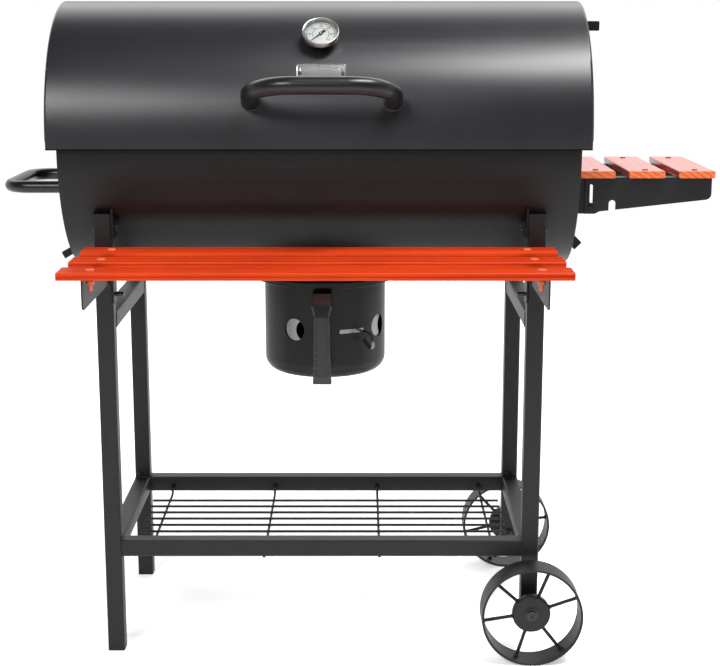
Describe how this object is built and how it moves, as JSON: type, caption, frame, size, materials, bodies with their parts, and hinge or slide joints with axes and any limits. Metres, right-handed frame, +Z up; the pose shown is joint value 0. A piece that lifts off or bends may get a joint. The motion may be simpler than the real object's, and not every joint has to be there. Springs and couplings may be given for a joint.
{
  "type": "barrel charcoal grill",
  "caption": "Black barrel charcoal grill on a square-tube cart, with orange-red slatted wood shelves, ash cup, lid thermometer, vents and spoked wheels.",
  "frame": {"origin": "centre of the overall footprint, on the floor", "axes": "+X towards the side shelf and wheels, +Y from the front table to the rear, +Z up"},
  "size_m": [1.038, 0.622, 0.9559],
  "materials": {
    "frame_black": "fine-texture black powder coat",
    "barrel_black": "satin black heat-resistant paint",
    "red_wood": "orange-red stained softwood, thin varnish",
    "dark_hardware": "black oxide fasteners",
    "grate_steel": "plated steel wire",
    "zinc_steel": "galvanised sheet",
    "gauge_chrome": "bright plated case",
    "plate_steel": "polished steel plate",
    "dial_white": "white printed dial",
    "needle_black": "matt black pointer",
    "gauge_glass": "clear glass",
    "black_plastic": "black moulded heat-resistant plastic"
  },
  "bodies": {
    "stand": {"leg_front_left": "frame_black", "leg_rear_left": "frame_black", "leg_front_right": "frame_black", "leg_rear_right": "frame_black", "leg_caps": "black_plastic", "rail_front": "frame_black", "rail_rear": "frame_black", "rail_left": "frame_black", "rail_right": "frame_black", "side_rail_left": "frame_black", "side_rail_right": "frame_black", "wire_shelf": "frame_black", "frame_bolts": "dark_hardware", "axle_bolt_front": "dark_hardware", "axle_bolt_rear": "dark_hardware", "bowl": "barrel_black", "bowl_lugs": "frame_black", "bowl_neck": "barrel_black", "bowl_vent_rivets": "dark_hardware", "grate_ledges": "grate_steel", "charcoal_grate": "grate_steel", "hinge_bowl": "barrel_black", "table_slat_front": "red_wood", "table_slat_middle": "red_wood", "table_slat_rear": "red_wood", "table_bracket_left": "frame_black", "table_bracket_right": "frame_black", "table_bolts": "zinc_steel", "bracket_bolts": "dark_hardware", "shelf_mounts": "frame_black", "side_handle": "frame_black"},
    "lid": {"lid_shell": "barrel_black", "lid_handle": "barrel_black", "lid_fasteners": "dark_hardware", "name_plate": "plate_steel", "gauge_case": "gauge_chrome", "gauge_dial": "dial_white", "gauge_glass": "gauge_glass", "hinge_lid": "barrel_black"},
    "needle": {"gauge_needle": "needle_black"},
    "wheel_front": {"wheel_rim_front": "frame_black", "wheel_spokes_front": "frame_black", "wheel_hub_front": "frame_black"},
    "wheel_rear": {"wheel_rim_rear": "frame_black", "wheel_spokes_rear": "frame_black", "wheel_hub_rear": "frame_black"},
    "ash_pot": {"ash_cup": "barrel_black", "cup_handle": "black_plastic"},
    "air_control": {"air_ring": "zinc_steel"},
    "vent_lid": {"damper_lid": "barrel_black"},
    "vent_left": {"damper_bowl_left": "barrel_black"},
    "vent_right": {"damper_bowl_right": "barrel_black"},
    "side_shelf": {"side_slat_inner": "red_wood", "side_slat_middle": "red_wood", "side_slat_outer": "red_wood", "side_web_front": "frame_black", "side_web_rear": "frame_black", "side_bolts": "dark_hardware"},
    "grate_left": {"cooking_grate_left": "grate_steel"},
    "grate_right": {"cooking_grate_right": "grate_steel"}
  },
  "joints": [
    {"name": "lid_hinge", "type": "hinge", "parent": "stand", "child": "lid", "pos_m": [-0.051, 0.285, 0.752], "axis": [-1, 0, 0], "range_deg": [0, 95]},
    {"name": "needle_turn", "type": "hinge", "parent": "lid", "child": "needle", "pos_m": [-0.049, -0.06041, 0.90992], "axis": [0, 0.7059, -0.7083], "range_deg": [0, 270]},
    {"name": "wheel_front_spin", "type": "hinge", "parent": "stand", "child": "wheel_front", "pos_m": [0.258, -0.1195, 0.074], "axis": [0, 1, 0], "continuous": true},
    {"name": "wheel_rear_spin", "type": "hinge", "parent": "stand", "child": "wheel_rear", "pos_m": [0.258, 0.2895, 0.074], "axis": [0, 1, 0], "continuous": true},
    {"name": "ash_pot_drop", "type": "slide", "parent": "stand", "child": "ash_pot", "axis": [0, 0, -1], "range_m": [0, 0.15]},
    {"name": "air_ring_turn", "type": "hinge", "parent": "ash_pot", "child": "air_control", "pos_m": [-0.0479, 0.085, 0.474], "axis": [0, 0, 1], "range_deg": [-18, 3]},
    {"name": "lid_vent_turn", "type": "hinge", "parent": "lid", "child": "vent_lid", "pos_m": [0.331, 0.085, 0.878], "axis": [1, 0, 0], "range_deg": [-35, 10]},
    {"name": "left_vent_turn", "type": "hinge", "parent": "stand", "child": "vent_left", "pos_m": [-0.419, 0.075, 0.628], "axis": [1, 0, 0], "range_deg": [-20, 25]},
    {"name": "right_vent_turn", "type": "hinge", "parent": "stand", "child": "vent_right", "pos_m": [0.317, 0.075, 0.628], "axis": [1, 0, 0], "range_deg": [-30, 15]},
    {"name": "side_shelf_fold", "type": "hinge", "parent": "stand", "child": "side_shelf", "pos_m": [0.341, 0.085, 0.66], "axis": [0, 1, 0], "range_deg": [0, 90]},
    {"name": "left_grate_lift", "type": "slide", "parent": "stand", "child": "grate_left", "axis": [0, 0, 1], "range_m": [0, 0.06]},
    {"name": "right_grate_lift", "type": "slide", "parent": "stand", "child": "grate_right", "axis": [0, 0, 1], "range_m": [0, 0.06]}
  ]
}
